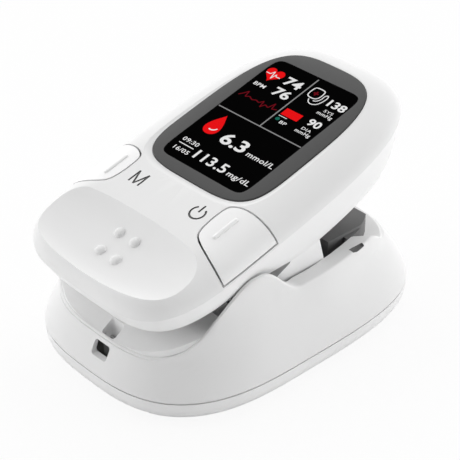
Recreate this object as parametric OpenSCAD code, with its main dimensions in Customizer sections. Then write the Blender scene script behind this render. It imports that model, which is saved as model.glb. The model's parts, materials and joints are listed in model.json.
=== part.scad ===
// Fingertip clip meter: a spring-loaded two-jaw clip with a screen in the upper jaw.
// Millimetres, +X towards the finger entry, +Y to the left of the reader, +Z up.
// The origin is at the middle of the underside. The head is drawn closed, about its own
// lens centre, and head() swings it open about the hinge axis.

/* [Base] */
// Length of the base beyond the cells, both ends together
base_ends = 15.5; // [15:0.1:18]
// Full width of the base at its parting line
base_w = 43.8; // [42:0.2:46]
// Height of the base parting line above the rest face
base_part_z = 4.2; // [3.6:0.1:4.8]
// Height of the ledge that the jaws close on
ledge_z = 16; // [15.5:0.1:18]
// Height of the rim at the thumb end
thumb_rim_z = 9.9; // [9.4:0.1:10.6]
// Height of the rim at the mouth where the finger goes in
mouth_z = 11.4; // [11.2:0.1:12]
// How far the hinge humps rise above the ledge
hump_rise = 5.6; // [4.5:0.1:6]
// How far the side walls lean in between the parting line and the ledge
wall_lean = 3; // [2.5:0.1:3.4]
// Width of the flat ledge
ledge_w = 2.6; // [2.2:0.1:2.8]
// Wall of the base case
base_wall = 1.6; // [1.4:0.1:1.9]

/* [Head] */
// How much longer the head is than the base
head_over = 1.8; // [1:0.1:3]
// How far the head stands in from the base at each side
head_inset = 3.3; // [3:0.1:3.6]
// Height of the lens above the rest face with the jaws closed
closed_h = 28.7; // [28.2:0.1:30]
// Depth of the head parting line below the lens
head_part = 4.25; // [3.8:0.05:4.6]
// Depth of the lower cover below the parting line at the thumb end
thumb_depth = 4.5; // [4:0.1:4.6]
// Wall of the head covers
head_wall = 1.5; // [1.3:0.1:1.7]
// Depth of the thumb scoop
scoop_depth = 1.5; // [0.8:0.1:1.8]

/* [Screen] */
// Width of the display window
screen_w = 19.2; // [17:0.2:20]
// Length of the display window
screen_len = 27.4; // [25:0.2:28]
// Width of the lens
lens_w = 25.3; // [24:0.1:26]
// Thickness of the lens
lens_t = 1; // [0.8:0.1:1.1]

/* [Hinge] */
// Hinge axis, distance ahead (+) or behind (-) the middle of the base
hinge_x = -9; // [-10:0.1:-8]
// Hinge axis, height above the rest face
hinge_z = 14; // [13.8:0.1:14.4]
// Radius of the hinge pins
pin_r = 1.2; // [1:0.05:1.3]
// Opening angle of the head as drawn, in degrees
open_angle = 15.25; // [10:0.25:20]
// Wire thickness of the torsion springs
spring_wire = 0.6; // [0.5:0.05:0.7]

/* [Battery] */
// Diameter of one cell
cell_d = 10.5; // [10:0.1:10.6]
// Length of one cell
cell_len = 44.5; // [42:0.1:44.6]
// Thickness of the battery door
door_t = 1.2; // [1:0.1:1.4]

/* [Buttons] */
// Gap around each button
button_gap = 0.32; // [0.28:0.02:0.4]
// Travel of each button
button_travel = 0.3; // [0.2:0.05:0.3]

/* [Hidden] */

seg = 72;              // points round each lofted outline
gap = 0.3;             // clearance between bodies that move past each other
seat = 0.05;           // clearance between a piece and its seat
base_len = cell_len + base_ends;
thumb_x = -base_len/2;         // thumb end of the base
finger_x = base_len/2;         // finger end of the base
head_len = base_len + head_over;
head_w = base_w - 2*head_inset;
head_half = head_w/2;
far_out = 200;                 // reaches past everything in a cut
pin_fit = 0.02;        // radial clearance of the hinge pins in the base
pin_run = 0.05;        // radial clearance of the hinge pins in the swinging arms
lens_at = [9.3, 0, closed_h];
part_z = -head_part;
lower_depth = closed_h - ledge_z - head_part - gap;           // skirt depth at the jaw
hinge_l = [hinge_x - lens_at[0], hinge_z - lens_at[2]];       // hinge seen from the lens

// Outlines: [centre x, near reach, far reach, half width, near squareness, far squareness]
base_plan = [-4.4, base_len/2 - 4.4, base_len/2 + 4.4, base_w/2, 2.9, 3.6];
head_plan = [-12, head_len/2 - 5.5, head_len/2 + 5.5, head_half, 4.2, 3.3];
head_near = head_plan[0] - head_plan[1];
head_far = head_plan[0] + head_plan[2];
lens_plan = [-3, screen_len - 16.4, 22.1, lens_w/2, 4, 3.5];
screen_x = [lens_plan[0] + lens_plan[2] - 3 - screen_len, lens_plan[0] + lens_plan[2] - 3];

white = "whitesmoke";
grey = "dimgray";
dark = [0.05, 0.05, 0.06];
green = [0.1, 0.35, 0.2];
steel = "silver";

// ---------- functions ----------
function smooth(t) = let (u = min(max(t, 0), 1)) u*u*(3 - 2*u);
function mix(a, b, t) = a + (b - a)*t;
// Point of an egg-shaped outline in the direction t, with the outline pulled in by d
function egg(o, t, d=0) =
    let (near = cos(t) < 0, n = near ? o[4] : o[5], reach = near ? o[1] : o[2],
         r = pow(pow(abs(cos(t))/(reach - d), n) + pow(abs(sin(t))/(o[3] - d), n), -1/n))
    [o[0] + r*cos(t), r*sin(t)];
function flat_ring(o, d, z, n=seg) = [for (i = [0:n-1]) let (p = egg(o, 360*i/n, d)) [p[0], p[1], z]];

// Base: rim height along x, and how far the wall leans in at a height
rim_rise = [thumb_x + 0.8, hinge_x - 3.3];
rim_drop = [hinge_x - 2, hinge_x + 7.7];
mouth_run = [finger_x - 11.5, finger_x - 4];
function rim_z(x) =
    x < rim_drop[0]
    ? mix(thumb_rim_z, ledge_z + hump_rise, smooth((x - rim_rise[0])/(rim_rise[1] - rim_rise[0])))
    : x < mouth_run[0]
    ? mix(ledge_z + hump_rise, ledge_z, smooth((x - rim_drop[0])/(rim_drop[1] - rim_drop[0])))
    : mix(ledge_z, mouth_z, smooth((x - mouth_run[0])/(mouth_run[1] - mouth_run[0])));
function rim_w(x) = mix(0.6, ledge_w, smooth((x - hinge_x)/9));
function rise(z, top, p) = pow(min(max(0, (z - base_part_z)/(top - base_part_z)), 1), p);
function lean(z) = wall_lean*rise(z, ledge_z, 1.4);
function end_lean(z) = 2.6*rise(z, thumb_rim_z, 1.2);
function mouth_lean(z) = 4*rise(z, mouth_z, 1.6);
// Base wall point at angle t and height share s, pulled in by d
function base_pt(t, s, d=0) =
    let (q = egg(base_plan, t), z = mix(base_part_z, rim_z(q[0]), s),
         end = cos(t) < 0 ? end_lean(z) : mouth_lean(z),
         in = mix(lean(z), max(lean(z), end), smooth(abs(cos(t))*1.6 - 0.5)),
         p = egg(base_plan, t, in + d))
    [p[0], p[1], z];
function base_ring(s, d=0) = [for (i = [0:seg-1]) base_pt(360*i/seg, s, d)];
function rim_ring() = [for (i = [0:seg-1]) let (t = 360*i/seg) base_pt(t, 1, rim_w(egg(base_plan, t)[0]))];

// Head: shoulder radius, height of the top line, and the thumb scoop
scoop_edge = -22.8;
scoop_lip = head_near + 0.7;
function shoulder_r(x) = mix(2.4, 8.5, smooth((x - head_near - 1.4)/12));
function top_line(x) = x > scoop_edge ? 0.05 : -1.2*(scoop_edge - x)/(scoop_edge - scoop_lip);
function scoop(x, y) =
    let (m = (scoop_edge + scoop_lip)/2, r = (scoop_edge - scoop_lip)/2)
    scoop_depth*max(0, 1 - pow((x - m)/r, 2))*max(0, 1 - pow(y/(head_half - 3.8), 4));
// Head skin point at angle t, a distance d in from the outline, sunk by w
function skin_pt(t, d, w=0) =
    let (p = egg(head_plan, t, d), r = shoulder_r(egg(head_plan, t)[0]),
         f = pow(1 - pow(1 - min(d/r, 1), 2.2), 0.5))
    [p[0], p[1], part_z + (head_part + top_line(p[0]))*f - scoop(p[0], p[1]) - w];
shoulder_steps = [0, 0.015, 0.06, 0.15, 0.3, 0.5, 0.75, 1];
crown_steps = [0.15, 0.3, 0.45, 0.6, 0.75, 0.9, 1];
crown_in = head_half - 0.6;
function skin_ring(f, c, w=0, e=0) =
    [for (i = [0:seg-1]) let (t = 360*i/seg, r = shoulder_r(egg(head_plan, t)[0]),
        d = mix(mix(e, r, f), crown_in, c)) skin_pt(t, d, w)];

// Lower cover of the head
skirt_run = [-24, -4];
skirt_end = [head_far - 11.4, head_far - 0.4];
function skirt_depth(x) =
    mix(thumb_depth, lower_depth, smooth((x - skirt_run[0])/(skirt_run[1] - skirt_run[0])))
    - 2.4*smooth((x - skirt_end[0])/(skirt_end[1] - skirt_end[0]));
function skirt_pt(t, s, d=0) =
    let (q = egg(head_plan, t), h = skirt_depth(q[0])*s,
         p = egg(head_plan, t, 0.6 + 1.2*pow(h/8.2, 1.2) + 0.7*pow(s, 5) + d))
    [p[0], p[1], part_z - seat - h];
function skirt_ring(s, d=0) = [for (i = [0:seg-1]) skirt_pt(360*i/seg, s, d)];

// ---------- shared shapes ----------
// Solid through a stack of equal rings; wrap joins the last ring back to the first
module loft(rings, wrap=false) {
    n = len(rings[0]);
    m = len(rings);
    sides = [for (k = [0:m - (wrap ? 1 : 2)], i = [0:n-1])
        let (a = k*n + i, b = k*n + (i + 1)%n, c = ((k + 1)%m)*n + (i + 1)%n, d = ((k + 1)%m)*n + i)
        each [[a, d, c], [a, c, b]]];
    caps = wrap ? [] : [[for (i = [0:n-1]) i], [for (i = [n-1:-1:0]) (m - 1)*n + i]];
    polyhedron(points=[for (r = rings) each r], faces=concat(sides, caps));
}
// Swings the closed head open about the hinge
module head(angle=open_angle) {
    translate([hinge_x, 0, hinge_z]) rotate([0, -angle, 0])
        translate([-hinge_l[0], 0, -hinge_l[1]]) children();
}
// Side profile in x, z made w wide about the middle
module across(w, y=0) {
    translate([0, y + w/2, 0]) rotate([90, 0, 0]) linear_extrude(w) children();
}
module slab(o, d, z0, z1, n=seg) {
    translate([0, 0, z0]) linear_extrude(z1 - z0)
        polygon([for (i = [0:n-1]) egg(o, 360*i/n, d)]);
}
module box(x0, x1, w, z0, z1, y=0) {
    translate([x0, y - w/2, z0]) cube([x1 - x0, w, z1 - z0]);
}
module pillar(x, y, z0, z1, r) {
    translate([x, y, z0]) cylinder(h=z1 - z0, r=r, $fn=40);
}

// ---------- head ----------
// Button outline: [x, distance in from the side of the head]
button_pts = [[-15.8, 8.2], [-20, 8.2], [-21.1, 7.9], [-21.8, 7.2], [-24.8, -0.3], [-24.8, -3.4],
              [-13, -3.4], [-13, -0.3], [-12, 2.2], [-11.8, 4], [-12.5, 6], [-13.8, 7.5]];
strip_z = part_z + 0.7;
module head_skin(w, low=0) {
    outer = concat([for (f = shoulder_steps) skin_ring(f, 0)], [for (c = crown_steps) skin_ring(1, c)]);
    rim = [for (i = [0:seg-1]) let (p = egg(head_plan, 360*i/seg, w)) [p[0], p[1], part_z]];
    inner = concat([for (c = [1, 0.66, 0.33]) skin_ring(1, c, w)],
                   [for (f = [1, 0.5, 0.2, 0]) skin_ring(f, 0, w, w + 0.15)]);
    loft(concat(inner, [rim], outer));
}
module button_prism(side, grow) {
    translate([0, 0, strip_z + (grow > 0 ? 0 : button_gap)])
        linear_extrude(6) scale([1, side, 1]) offset(delta=min(grow, 0))
            polygon([for (p = button_pts) [p[0], head_half - p[1]]]);
}
function four(near, near_y, far, far_y) = [[near, near_y], [near, -near_y], [far, far_y], [far, -far_y]];
screw_posts = four(head_near + 6.9, head_half - 9.5, head_far - 4.8, head_half - 12.1);
switch_at = [-17.5, head_half - 4.2];
board_z = part_z - 0.95;       // top of the main circuit board
board_t = 0.8;
switch_top = board_z + 1.1;    // top of the button switches
module top_cover() color(white) head() difference() {
    union() {
        head_skin(head_wall);
        loft([flat_ring(lens_plan, -1.9, -0.9), flat_ring(lens_plan, -1.1, -0.25),
              flat_ring(lens_plan, -0.75, 0.05), flat_ring(lens_plan, -0.5, 0.12)]);
        for (p = screw_posts) pillar(p[0], p[1], part_z - 0.6, -2.2 - (p[0] < -20 ? 1 : 0), 1.9);
        for (x = [-26.4, -30.6], y = [-1.9, 1.9])
            translate([x, y, skin_at(x, y) - 0.55]) sphere(r=0.95, $fn=24);
    }
    slab(lens_plan, -0.1, -lens_t - seat, 2);
    box(screen_x[0] - 0.4, screen_x[1] + 0.4, screen_w + 0.8, -4, 1);
    for (side = [-1, 1]) button_prism(side, 1);
    for (p = screw_posts) pillar(p[0], p[1], part_z - 1, -3.4 - (p[0] < -20 ? 0.6 : 0), 0.7);
}
function skin_at(x, y) = top_line(x) - scoop(x, y);

rib_x = [-19.8, -15.5];
rib_y = head_half - 5.75;
module button(side) color(white) head() {
    intersection() {
        head_skin(head_wall + 0.1);
        button_prism(side, -button_gap);
    }
    pillar(switch_at[0], side*switch_at[1], switch_top + button_travel + 0.02, -1.2, 0.9);
    translate([rib_x[0], side*rib_y, -0.5]) rotate([0, 90, 0]) cylinder(h=rib_x[1] - rib_x[0], r=0.4, $fn=24);
    for (x = rib_x) translate([x, side*rib_y, -0.5]) sphere(r=0.4, $fn=24);
}
module power_button() button(-1);
module mode_button() button(1);

module display_lens() color(dark) head() slab(lens_plan, 0, -lens_t, 0);

panel_z = -head_wall - 0.8;
panel_t = 1.3;
holder_x = screen_x[0] - 1.8;  // near edge of the display holder
module display_panel() color(dark) head()
    box(screen_x[0] - 1, screen_x[1] + 1, screen_w + 2,
        panel_z - panel_t, panel_z - seat);
module display_holder() color("lightgray") head() difference() {
    box(holder_x, screen_x[1] + 1.3, screen_w + 3.4,
        board_z + seat, panel_z - seat);
    box(screen_x[0] - 1.1, screen_x[1] + 1.1, screen_w + 2.2,
        panel_z - panel_t - seat, 0);
    box(screen_x[0] + 1, screen_x[1] - 1, screen_w - 2, -9, 0);
}
module main_circuit_board() color(green) head() difference() {
    union() {
        box(-22, head_far - 5.9, head_w - 15.2, board_z - board_t, board_z);
        box(-20.5, -14.5, 2*switch_at[1] + 2.7, board_z - board_t, board_z);
    }
    for (p = screw_posts) pillar(p[0], p[1], -9, 0, 2.1);
}
module board_chips() color(dark) head() {
    box(-7, -1, 6, board_z - board_t - 0.9, board_z - board_t, -5);
    box(3, 8, 5, board_z - board_t - 0.8, board_z - board_t, 5);
    box(-16, -12, 4, board_z - board_t - 1, board_z - board_t, 2);
    for (i = [0:2]) box(holder_x - 6.9 + 2*i, holder_x - 5.9 + 2*i, 0.6, board_z, board_z + 0.5, -7);
}
module button_switches() color("silver") head() for (side = [-1, 1]) {
    box(switch_at[0] - 1.5, switch_at[0] + 1.5, 1.9, board_z, board_z + 0.8, side*switch_at[1]);
    pillar(switch_at[0], side*switch_at[1], board_z + 0.8, switch_top, 0.6);
}
module beeper() color("black") head() difference() {
    pillar(holder_x - 5.4, 0, board_z, board_z + 1.6, 3);
    pillar(holder_x - 5.4, 0, board_z + 1, board_z + 2, 0.5);
}

// Underside of the thumb end, the hinge arms, and the ceiling of the jaw
ceiling_z = -9.6;
jaw_from = -6;
lead_x = [5.2, 6.8];
arm_t = 1.5;
arm_r = 3.1;
pin_len = 6.4;
arm_y = head_half - 2.75 - arm_t;
arm_end = -3.2;          // far edge of the arms, beside the finger channel
floor_t = 1.3;
floor_xs = [for (i = [0:12]) mix(head_near + 0.4, -10, i/12)];
function floor_z(x) = part_z - seat - skirt_depth(x);
module lower_inside()
    loft([skirt_ring_flat(-22, 1), skirt_ring(0.9, 0.7), skirt_ring(0.45, 0.7), skirt_ring(0, 0.7)]);
function skirt_ring_flat(z, d) = [for (p = skirt_ring(1, d)) [p[0], p[1], z]];
module floor_profile() polygon(concat(
    [for (x = floor_xs) [x, floor_z(x)]],
    [[jaw_from, floor_z(-10)], [jaw_from, ceiling_z], [far_out, ceiling_z], [far_out, ceiling_z + floor_t],
     [jaw_from - floor_t, ceiling_z + floor_t], [jaw_from - floor_t, floor_z(-10) + floor_t]],
    [for (i = [12:-1:0]) [floor_xs[i], floor_z(floor_xs[i]) + floor_t]]));
module head_lower_cover() color(white) head() difference() {
    union() {
        loft([skirt_ring(1), skirt_ring(0.9), skirt_ring(0.75), skirt_ring(0.5), skirt_ring(0.25),
              skirt_ring(0), skirt_ring(0, head_wall), skirt_ring(0.5, head_wall),
              skirt_ring(1, head_wall)], wrap=true);
        intersection() {
            lower_inside();
            across(far_out) floor_profile();
        }
        for (side = [-1, 1]) {
            across(arm_t, side*(arm_y + arm_t/2)) difference() {
                union() {
                    translate(hinge_l) circle(r=arm_r, $fn=48);
                    polygon([[hinge_l[0], hinge_l[1] - arm_r], [arm_end, hinge_l[1] - 2.1],
                             [arm_end, ceiling_z], [-8.5, ceiling_z], [-9.8, part_z - lower_depth + 0.1], [-13.4, hinge_l[1] + 1.75],
                             [hinge_l[0], hinge_l[1] + 2.6]]);
                }
                translate(hinge_l) circle(r=pin_r + pin_run, $fn=48);
            }
        }
        for (p = screw_posts) pillar(p[0], p[1], post_foot(p[0]), part_z - 0.7, 1.9);
    }
    for (p = screw_posts) {
        pillar(p[0], p[1], -20, 0, 0.95);
        pillar(p[0], p[1], -20, post_foot(p[0]) + 0.6, 1.6);
    }
    for (x = lead_x) pillar(x, 0, ceiling_z - 2, ceiling_z + 3, 0.5);
}
function post_foot(x) = x < 0 ? floor_z(x) + 0.3 : ceiling_z + 0.3;

module screw(x, y, head_z, up) translate([x, y, head_z]) {
    difference() {
        cylinder(h=0.9, r=1.45, $fn=40);
        translate([0, 0, -1]) cylinder(h=1.5, r=0.55, $fn=6);
    }
    cylinder(h=up, r=0.65, $fn=40);
}
module head_screws() color(steel) head()
    for (p = screw_posts) screw(p[0], p[1], post_foot(p[0]) - 0.35, part_z + 0.3 - post_foot(p[0]));

// Soft lining of the upper jaw
pad_x = [-1.5, 15.3];
pad_deep = 2.2;
up_groove_r = 11.6;
module upper_finger_pad() color(grey) head() difference() {
    box(pad_x[0], pad_x[1], head_w - 14, ceiling_z - pad_deep, ceiling_z - seat);
    translate([0, 0, ceiling_z - 1.2 - up_groove_r]) rotate([0, 90, 0])
        cylinder(h=far_out, r=up_groove_r, center=true, $fn=96);
    pillar(6, 0, -far_out, 0, 1.7);
}
module light_emitter() color([0.8, 0.1, 0.1]) head() {
    pillar(6, 0, ceiling_z - 1, ceiling_z - seat, 1.4);
    for (x = lead_x) pillar(x, 0, ceiling_z - seat*2, ceiling_z + 2.4, 0.3);
}

// ---------- base ----------
tray_half = cell_d + 1.7;
post_r = 2;
post_top = 11;
case_screws = four(thumb_x + 11.5, tray_half + 2.4, finger_x - 14.5, tray_half + 2.4);
boss_out = base_w/2 - wall_lean - 0.2;
deck_flat = 14.2;
deck_t = 1.2;
deck_from = thumb_x + 1.6;
deck_knee = thumb_x + 8.4;
deck_to = hinge_x - 2.6;
lanyard_y = -2.1;
module case_inside() loft([base_ring(0, 0.8), base_ring(0.5, 0.7), base_ring(0.97, 0.6),
    [for (p = base_ring(1, 0.6)) [p[0], p[1], closed_h]]]);
module base_case() color(white) difference() {
    union() {
        loft([base_ring(0), base_ring(0.15), base_ring(0.3), base_ring(0.5), base_ring(0.7),
              base_ring(0.88), base_ring(0.97), base_ring(1, 0.25),
              rim_ring(), base_ring(0.5, base_wall - 0.4), base_ring(0, base_wall)], wrap=true);
        intersection() {
            case_inside();
            difference() {
                across(far_out) polygon([[deck_from, thumb_rim_z - 0.75], [deck_knee, deck_flat],
                    [deck_to, deck_flat], [deck_to, deck_flat - deck_t],
                    [deck_knee + 0.3, deck_flat - deck_t], [deck_from - 0.2, thumb_rim_z - 2.6]]);
                for (side = [-1, 1]) box(hinge_x - 6, 0, 6, 0, closed_h, side*(arm_y + 1.5));
            }
        }
        for (side = [-1, 1]) translate([hinge_x, side*(arm_y + arm_t + gap), hinge_z])
            rotate([-90*side, 0, 0]) cylinder(h=boss_out - arm_y - arm_t - gap, r=2.4, $fn=48);
        for (p = case_screws) {
            pillar(p[0], p[1], base_part_z + gap, post_top, post_r);
            rib = base_w/2 - 3.9 - tray_half - 2.4;
            box(p[0] - 0.6, p[0] + 0.6, rib, base_part_z + gap, post_top, sign(p[1])*(tray_half + 2.4 + rib/2));
        }
    }
    for (side = [-1, 1]) translate([hinge_x, side*(arm_y - 5), hinge_z])
        rotate([-90*side, 0, 0]) cylinder(h=pin_len + 1.8 + seat, r=pin_r + pin_fit, $fn=48);
    for (p = case_screws) pillar(p[0], p[1], 0, 9, 0.7);
    // lanyard loop: one hole in the end wall, one in the sloping deck
    translate([thumb_x - 2, lanyard_y - 1.75, thumb_rim_z - 3.2]) cube([6, 3.5, 2.3]);
    translate([thumb_x + 3, lanyard_y - 1.5, thumb_rim_z - 2.7]) cube([2.4, 3, 6]);
    // keyhole slot in the right-hand ledge
    translate([10.8, 4 - base_w/2, ledge_z - 1.2]) cube([3, 1.2, 3]);
}
bottom_round = [[0, 3], [0.35, 1.9], [1.1, 0.85], [2.2, 0.3], [base_part_z - 0.25, 0.05]];
function bottom_rings(d=0) = [for (r = bottom_round) flat_ring(base_plan, r[1] + d, r[0])];
door_w = 2*cell_d + 3;
door_x = [thumb_x - 3, finger_x - 4];
cell_z = door_t + 0.3 + cell_d/2;
cell_y = cell_d/2 + 0.2;
cell_x = [-cell_len/2, cell_len/2];
module bottom_skin() loft(concat(bottom_rings(), [flat_ring(base_plan, 0, base_part_z - seat)]));
module bottom_cover() color(white) difference() {
    bottom_skin();
    difference() {
        loft([for (r = bottom_round) flat_ring(base_plan, r[1] + 1.5, r[0] + 2.2)]);
        for (p = case_screws) pillar(p[0], p[1], 0, base_part_z - seat, 2.3);
    }
    box(door_x[0], door_x[1] + gap, door_w + 2*gap, -1, door_t + gap/2);
    box(cell_x[0] - 3.5, cell_x[1] + 1.5, cell_d*2 + 1, -1, far_out);
    for (p = case_screws) {
        pillar(p[0], p[1], -1, far_out, 0.95);
        pillar(p[0], p[1], -1, 1.4, 1.6);
    }
}
module battery_door() color(white) difference() {
    intersection() {
        bottom_skin();
        box(door_x[0], door_x[1], door_w, 0, door_t);
    }
    for (i = [0:4]) box(-22 + 1.6*i, -21.2 + 1.6*i, 8, -1, 0.4);
}
module base_screws() color(steel)
    for (p = case_screws) screw(p[0], p[1], 0.45, 7);

tray_z = 3.3;
tray_end_z = 8;
tray_top = 11.2;
pad_seat = 12.9;          // top of the tray, where the lower pad sits
sensor_x = 13;
module battery_tray() color("gainsboro") difference() {
    union() {
        box(cell_x[0] - 3.2, cell_x[0], 18.2, tray_z, 8.2);
        box(cell_x[0] - 0.6, cell_x[1] - 6.2, 2*tray_half, tray_z, tray_top);
        box(cell_x[1] - 7, cell_x[1] + 2.1, 2*cell_d + 2, tray_z, tray_end_z);
        box(-4, finger_x - 10.9, 2*cell_d + 4, tray_top, pad_seat);
    }
    box(cell_x[0] - 2.7, cell_x[0], 17.4, 0, pad_seat - 0.8);
    box(cell_x[0] - 0.1, cell_x[1] + 1, 2*cell_d + 1, 0, pad_seat - 0.8);
    box(sensor_x - 3, sensor_x + 3, 5, 8, far_out);
}
module battery_cells() for (side = [-1, 1]) color("steelblue")
    translate([cell_x[0] + (side > 0 ? 0 : 1), side*cell_y, cell_z]) rotate([0, 90, 0]) {
        cylinder(h=cell_len - 1, r=cell_d/2, $fn=64);
        translate([0, 0, side > 0 ? cell_len - 1 : -1]) cylinder(h=1, r=1.9, $fn=40);
    }
module coil(r, wire, turns, length, n=12) {
    steps = turns*n;
    rings = [for (k = [0:steps]) let (a = 360*k/n, x = length*k/steps)
        [for (j = [0:7]) let (b = 360*j/8, q = r + wire*cos(b)) [x - wire*sin(b), q*cos(a), q*sin(a)]]];
    loft(rings);
}
module spring_contacts() color(steel) for (side = [-1, 1]) {
    box(cell_x[0] - 2.6, cell_x[0] - 2.3, 6, tray_z + 0.2, 8, side*cell_y);
    translate([cell_x[0] - 2.05, side*cell_y, cell_z]) coil(2.6, 0.2, 2, 1.75);
}
module plate_contacts() color(steel) for (side = [-1, 1])
    box(cell_x[1] + 0.35, cell_x[1] + 0.8, 8, tray_z + 0.2, tray_end_z, side*cell_y);

// Soft lining of the lower jaw with its finger groove
groove_r = 13.5;
groove_z = pad_seat + 1 + groove_r;
module lower_finger_pad() color(grey) difference() {
    intersection() {
        union() {
            box(9.5, finger_x - 9.8, base_w - 16.8, pad_seat + seat, ledge_z + 0.4);
            box(13, finger_x - 9.8, base_w - 2*(wall_lean + ledge_w + 0.6), pad_seat + seat, ledge_z - 0.1);
        }
        slab(base_plan, wall_lean + ledge_w + 0.8, 0, closed_h);
    }
    translate([0, 0, groove_z]) rotate([0, 90, 0]) cylinder(h=far_out, r=groove_r, center=true, $fn=96);
    pillar(sensor_x, 0, 0, closed_h, 1.9);
}
module light_sensor() color([0.15, 0.15, 0.2]) pillar(sensor_x, 0, 12, 13.6, 1.6);
module sensor_board() color(green) box(sensor_x - 2.7, sensor_x + 2.7, 4.4, tray_top, 12);

module hinge_pins() color(steel) for (side = [-1, 1])
    translate([hinge_x, side*(arm_y - 3.2), hinge_z]) rotate([-90*side, 0, 0])
        cylinder(h=pin_len, r=pin_r, $fn=48);
module torsion_springs() color("gray") for (side = [-1, 1])
    translate([hinge_x, side*(arm_y - 3), hinge_z]) rotate([0, 0, 90*side]) {
        coil(pin_r + spring_wire/2 + 0.15, spring_wire/2, 4, 2.5);
    }

top_cover();
head_lower_cover();
display_lens();
display_panel();
display_holder();
main_circuit_board();
board_chips();
button_switches();
beeper();
upper_finger_pad();
light_emitter();
head_screws();
power_button();
mode_button();
base_case();
bottom_cover();
battery_tray();
lower_finger_pad();
light_sensor();
sensor_board();
battery_cells();
spring_contacts();
plate_contacts();
hinge_pins();
torsion_springs();
base_screws();
battery_door();
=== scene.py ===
# %% [markdown]
# # A fingertip clip meter
# A small white meter that clips on a fingertip. A battery base and a head with a screen are
# joined by two hinge pins. The construction comes in as a fixed frame, and the lesson dresses
# it: smooth moulded shells, a dark lens with a lit picture, soft grey pads and plain metal.

# %% Frame
import json
import math
import bmesh
import bpy
from mathutils import Matrix, Vector


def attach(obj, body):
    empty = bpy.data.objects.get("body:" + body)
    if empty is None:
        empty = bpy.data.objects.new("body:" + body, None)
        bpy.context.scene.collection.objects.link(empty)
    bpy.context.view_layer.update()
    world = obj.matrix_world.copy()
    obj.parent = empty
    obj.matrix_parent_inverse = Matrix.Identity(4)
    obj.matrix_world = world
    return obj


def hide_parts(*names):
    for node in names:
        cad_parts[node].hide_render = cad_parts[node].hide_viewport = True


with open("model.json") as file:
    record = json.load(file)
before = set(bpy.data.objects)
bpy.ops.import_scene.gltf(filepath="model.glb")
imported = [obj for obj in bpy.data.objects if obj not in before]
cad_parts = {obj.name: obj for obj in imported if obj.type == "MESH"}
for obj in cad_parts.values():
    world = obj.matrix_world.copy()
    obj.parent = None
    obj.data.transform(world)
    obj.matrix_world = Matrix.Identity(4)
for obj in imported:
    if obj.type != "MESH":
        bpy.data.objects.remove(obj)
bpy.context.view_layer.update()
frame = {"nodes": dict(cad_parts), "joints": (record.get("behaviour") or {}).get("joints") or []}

# %% [markdown]
# ## Camera
# A product shot is taken with a long lens from well back, so that the far end of the meter
# stays nearly as large as the near one. The camera looks down on the thumb end from the
# right-hand corner.

# %% Camera
scene = bpy.context.scene
scene.view_settings.view_transform = "Standard"
camera_data = bpy.data.cameras.new("product_camera")
camera_data.sensor_width = 36
camera_data.lens = 117.39
camera = bpy.data.objects.new("product_camera", camera_data)
camera.location = (-0.13788, -0.15093, 0.1486)
camera.rotation_euler = (math.radians(57.12), 0, math.radians(-42.52))
scene.collection.objects.link(camera)
scene.camera = camera
print("camera:", round(camera_data.lens), "mm lens")

# %% [markdown]
# ## Light
# White plastic shows its form by soft changes of grey. A light tent gives them: the world is
# white all round, but for a wide dark opening on the camera's side, so the corners that face
# the opening turn grey. A weak softbox at the far left gives the small domes and ribs a lit
# side, and one low on the right lifts the side walls. To the camera, and
# through clear pieces, the tent is plain white.

# %% Light tent
TENT_STRENGTH = 1.65
OPENING_AZIMUTH, OPENING_HEIGHT = 234, 48
OPENING_EDGES = (64, 20)
OPENING_LEFT = 0.05
LAMP_DISTANCE, LAMP_SIZE = 0.6, 0.3


def towards(azimuth, height, distance=1.0):
    """A point in a compass direction from the middle of the object; angles in degrees."""
    a, h = math.radians(azimuth), math.radians(height)
    return Vector((math.cos(h) * math.cos(a), math.cos(h) * math.sin(a), math.sin(h))) * distance


def softbox(name, azimuth, height, power):
    """A square lamp that faces the middle of the object."""
    place = towards(azimuth, height, LAMP_DISTANCE)
    data = bpy.data.lights.new(name, "AREA")
    data.shape = "SQUARE"
    data.size = LAMP_SIZE
    data.energy = power
    lamp = bpy.data.objects.new(name, data)
    lamp.location = place
    lamp.rotation_euler = (-place).to_track_quat("-Z", "Y").to_euler()
    scene.collection.objects.link(lamp)
    return lamp


softbox("far_left_lamp", 150, 40, 0.12)
softbox("right_fill_lamp", 308, 15, 0.6)
world = bpy.data.worlds.new("light_tent")
scene.world = world
world.use_nodes = True
nodes, links = world.node_tree.nodes, world.node_tree.links
background = nodes["Background"]
background.inputs["Color"].default_value = (1, 1, 1, 1)
direction = nodes.new("ShaderNodeTexCoord")
facing = nodes.new("ShaderNodeVectorMath")
facing.operation = "DOT_PRODUCT"
facing.inputs[1].default_value = towards(OPENING_AZIMUTH, OPENING_HEIGHT)
links.new(direction.outputs["Generated"], facing.inputs[0])
tent = nodes.new("ShaderNodeMapRange")
tent.interpolation_type = "SMOOTHSTEP"
tent.inputs["From Min"].default_value = math.cos(math.radians(OPENING_EDGES[0]))
tent.inputs["From Max"].default_value = math.cos(math.radians(OPENING_EDGES[1]))
tent.inputs["To Min"].default_value = TENT_STRENGTH
tent.inputs["To Max"].default_value = OPENING_LEFT
links.new(facing.outputs["Value"], tent.inputs["Value"])
path = nodes.new("ShaderNodeLightPath")
seen = nodes.new("ShaderNodeMath")
seen.operation = "MAXIMUM"
links.new(path.outputs["Is Camera Ray"], seen.inputs[0])
links.new(path.outputs["Is Transmission Ray"], seen.inputs[1])
level = nodes.new("ShaderNodeMix")
level.inputs["B"].default_value = 1.0
links.new(seen.outputs[0], level.inputs["Factor"])
links.new(tent.outputs[0], level.inputs["A"])
links.new(level.outputs[0], background.inputs["Strength"])
print("light: a tent with an opening at", OPENING_AZIMUTH, "degrees and two softboxes")

# %% [markdown]
# ## Floor
# The floor is a plain pale sheet. To the camera it is mostly its own white, with a part of the
# true lit surface mixed in, which keeps a soft shadow under the meter.

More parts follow.
